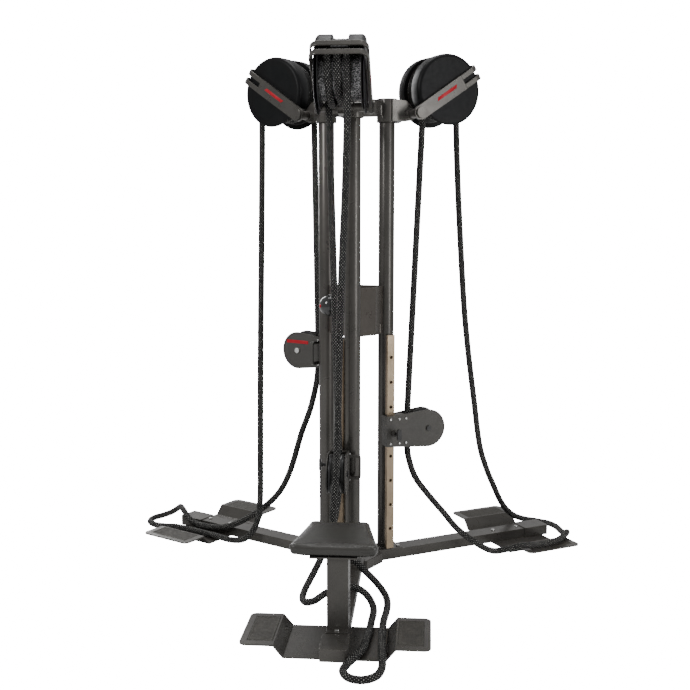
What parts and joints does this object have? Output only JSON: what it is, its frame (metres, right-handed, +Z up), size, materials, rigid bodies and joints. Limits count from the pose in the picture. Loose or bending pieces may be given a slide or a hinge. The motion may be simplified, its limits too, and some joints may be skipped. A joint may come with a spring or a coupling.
{
  "type": "rope trainer",
  "caption": "Free-standing rope pulling machine with columns on a legged base, covered rope drums, sliding guide sheaves on indexed rails, foot plates and a low padded seat.",
  "frame": {"origin": "machine axis on the floor, under the middle of the columns", "axes": "+Z up; the station with the seat points along -Y; the other two stations are turned 120 degrees each way"},
  "size_m": [1.9291, 1.7949, 2.051],
  "materials": {
    "frame_paint": "dark metallic powder coat, satin",
    "hub_paint": "dark metallic powder coat, satin",
    "rail_finish": "champagne anodised, brushed",
    "bright_steel": "zinc plated",
    "black_shell": "moulded shell, fine texture",
    "drum_steel": "black drum, worn bright where the rope runs",
    "sheave_black": "glass-filled nylon",
    "black_steel": "black oxide",
    "knob_gloss": "polished",
    "grip_rubber": "pebbled",
    "seat_vinyl": "grained vinyl",
    "board_black": "painted board",
    "rope_braid": "braided rope"
  },
  "bodies": {
    "frame": {"base_hub": "frame_paint", "mid_hub": "hub_paint", "top_hub": "hub_paint", "hub_bolts": "bright_steel", "column_front": "frame_paint", "column_right": "frame_paint", "column_left": "frame_paint", "leg_front": "frame_paint", "leg_right": "frame_paint", "leg_left": "frame_paint", "leg_end_caps": "frame_paint", "foot_plate_front": "frame_paint", "foot_plate_right": "frame_paint", "foot_plate_left": "frame_paint", "foot_grips": "grip_rubber", "foot_bolts": "bright_steel", "rail_front": "rail_finish", "rail_right": "rail_finish", "rail_left": "rail_finish", "rail_screws": "rail_finish", "collar_front": "frame_paint", "collar_right": "frame_paint", "collar_left": "frame_paint", "cross_tubes": "frame_paint", "arm_plates_front": "frame_paint", "arm_plates_right": "frame_paint", "arm_plates_left": "frame_paint", "rope_guards": "frame_paint", "drum_cover_front": "black_shell", "drum_cover_right": "black_shell", "drum_cover_left": "black_shell", "drum_shafts": "bright_steel", "drum_bearings": "bright_steel", "seat_post": "frame_paint", "seat_board": "board_black", "seat_pad": "seat_vinyl", "seat_bolts": "bright_steel", "tension_knob": "knob_gloss", "rope_upper_front": "rope_braid", "rope_upper_right": "rope_braid", "rope_upper_left": "rope_braid", "rope_lower_front": "rope_braid", "rope_lower_right": "rope_braid", "rope_lower_left": "rope_braid"},
    "drum_front": {"drum_front": "drum_steel"},
    "carriage_front": {"carriage_front": "frame_paint", "sheave_axle_front": "bright_steel"},
    "sheave_front": {"sheave_front": "sheave_black"},
    "pin_front": {"pull_pin_front": "black_steel"},
    "drum_right": {"drum_right": "drum_steel"},
    "carriage_right": {"carriage_right": "frame_paint", "sheave_axle_right": "bright_steel"},
    "sheave_right": {"sheave_right": "sheave_black"},
    "pin_right": {"pull_pin_right": "black_steel"},
    "drum_left": {"drum_left": "drum_steel"},
    "carriage_left": {"carriage_left": "frame_paint", "sheave_axle_left": "bright_steel"},
    "sheave_left": {"sheave_left": "sheave_black"},
    "pin_left": {"pull_pin_left": "black_steel"}
  },
  "joints": [
    {"name": "drum_spin_front", "type": "hinge", "parent": "frame", "child": "drum_front", "pos_m": [-0.022, -0.36, 1.91], "axis": [1, 0, 0], "continuous": true},
    {"name": "carriage_slide_front", "type": "slide", "parent": "frame", "child": "carriage_front", "axis": [0, 0, 1], "range_m": [-0.3048, 0.4064], "deforming": ["rope_upper_front", "rope_lower_front"]},
    {"name": "sheave_spin_front", "type": "hinge", "parent": "carriage_front", "child": "sheave_front", "pos_m": [-0.045, -0.296, 0.4548], "axis": [1, 0, 0], "continuous": true},
    {"name": "pin_pull_front", "type": "slide", "parent": "carriage_front", "child": "pin_front", "axis": [-1, 0, 0], "range_m": [-0.012, 0.01], "stiffness_N_per_m": 600},
    {"name": "drum_spin_right", "type": "hinge", "parent": "frame", "child": "drum_right", "pos_m": [0.32277, 0.16095, 1.91], "axis": [-0.5, 0.866, 0], "continuous": true},
    {"name": "carriage_slide_right", "type": "slide", "parent": "frame", "child": "carriage_right", "axis": [0, 0, 1], "range_m": [-0.4064, 0.3048], "deforming": ["rope_upper_right", "rope_lower_right"]},
    {"name": "sheave_spin_right", "type": "hinge", "parent": "carriage_right", "child": "sheave_right", "pos_m": [0.27884, 0.10903, 0.5564], "axis": [-0.5, 0.866, 0], "continuous": true},
    {"name": "pin_pull_right", "type": "slide", "parent": "carriage_right", "child": "pin_right", "axis": [0.5, -0.866, 0], "range_m": [-0.012, 0.01], "stiffness_N_per_m": 600},
    {"name": "drum_spin_left", "type": "hinge", "parent": "frame", "child": "drum_left", "pos_m": [-0.30077, 0.19905, 1.91], "axis": [-0.5, -0.866, 0], "continuous": true},
    {"name": "carriage_slide_left", "type": "slide", "parent": "frame", "child": "carriage_left", "axis": [0, 0, 1], "range_m": [-0.7112, 0], "deforming": ["rope_upper_left", "rope_lower_left"]},
    {"name": "sheave_spin_left", "type": "hinge", "parent": "carriage_left", "child": "sheave_left", "pos_m": [-0.23384, 0.18697, 0.8612], "axis": [-0.5, -0.866, 0], "continuous": true},
    {"name": "pin_pull_left", "type": "slide", "parent": "carriage_left", "child": "pin_left", "axis": [0.5, 0.866, 0], "range_m": [-0.012, 0.01], "stiffness_N_per_m": 600}
  ]
}
